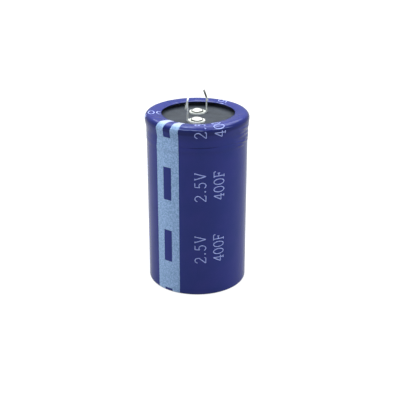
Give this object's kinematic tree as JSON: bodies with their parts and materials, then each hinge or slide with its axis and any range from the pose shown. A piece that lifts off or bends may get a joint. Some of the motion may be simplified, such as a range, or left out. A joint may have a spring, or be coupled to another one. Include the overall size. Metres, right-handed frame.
{
  "type": "supercapacitor",
  "caption": "Cylindrical snap-in supercapacitor: beaded aluminium can in a dark blue heat-shrink sleeve, rubber-faced deck with riveted blade terminals.",
  "frame": {"origin": "centre of the closed end's base, at the bottom of the sleeve's lower lip", "axes": "+Z along the can's axis, from the closed end to the terminals; the printed front faces -Y; the rivets lie on the Y axis, negative at -Y"},
  "size_m": [0.036, 0.036, 0.0684],
  "materials": {
    "sleeve_film": "shrunk vinyl film, dark blue, printed with a light blue stripe and pale characters",
    "can_aluminium": "drawn, bare",
    "deck_rubber": "matt moulded rubber, dark grey",
    "phenolic": "pressed phenolic laminate, brown",
    "tinned_sheet": "bright tin plate",
    "rivet_aluminium": "upset, bright",
    "lead_foil": "plain foil",
    "insulating_paper": "kraft board",
    "wound_roll": "wound carbon-coated foil and paper, wetted",
    "roll_tape": "amber film tape"
  },
  "bodies": {
    "root": {"can": "can_aluminium", "sleeve": "sleeve_film", "deck_plate": "phenolic", "deck_rubber": "deck_rubber", "terminal_negative": "tinned_sheet", "terminal_positive": "tinned_sheet", "rivet_negative": "rivet_aluminium", "rivet_positive": "rivet_aluminium", "washer_negative": "rivet_aluminium", "washer_positive": "rivet_aluminium", "lead_negative": "lead_foil", "lead_positive": "lead_foil", "top_insulator": "insulating_paper", "winding": "wound_roll", "winding_tape": "roll_tape", "bottom_insulator": "insulating_paper"}
  },
  "joints": []
}
